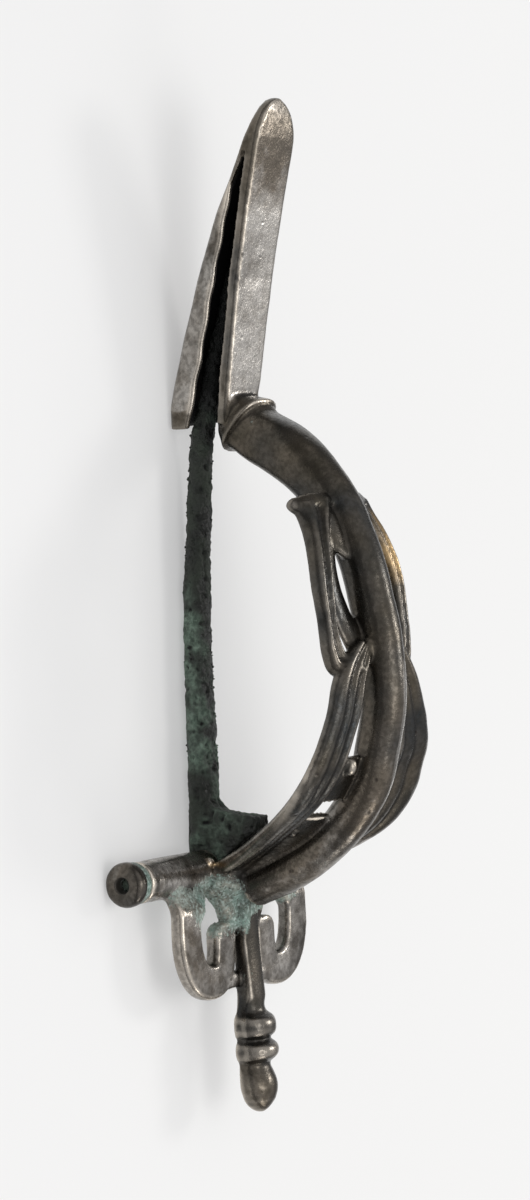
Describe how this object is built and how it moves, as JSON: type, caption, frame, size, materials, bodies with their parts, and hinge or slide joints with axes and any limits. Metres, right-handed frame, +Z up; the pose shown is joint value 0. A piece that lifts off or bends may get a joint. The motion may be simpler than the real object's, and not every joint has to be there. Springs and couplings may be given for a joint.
{
  "type": "roman hinged brooch",
  "caption": "Silver bow brooch with openwork straps, a tubular crossbar, a sheath catch on its foot and a hinged pin.",
  "frame": {"origin": "centre of the bounding box in plan, at the height of the table that the brooch stands on", "axes": "+Z up through the bow, -X towards the foot and its catch, +X towards the head terminal, crossbar and hinge axis along Y"},
  "size_m": [0.087, 0.0302, 0.021],
  "materials": {
    "tarnished_silver": "tarnished cast silver, worn bright on edges",
    "corroded_copper_alloy": "rough dark green to black corrosion"
  },
  "bodies": {
    "brooch": {"silver_body": "tarnished_silver", "end_cap_near": "tarnished_silver", "end_cap_far": "tarnished_silver", "hinge_axle": "corroded_copper_alloy"},
    "pin": {"pin": "corroded_copper_alloy"}
  },
  "joints": [
    {"name": "pin_hinge", "type": "hinge", "parent": "brooch", "child": "pin", "pos_m": [0.0223, 0, 0.00195], "axis": [0, -1, 0], "range_deg": [0, 100]}
  ]
}
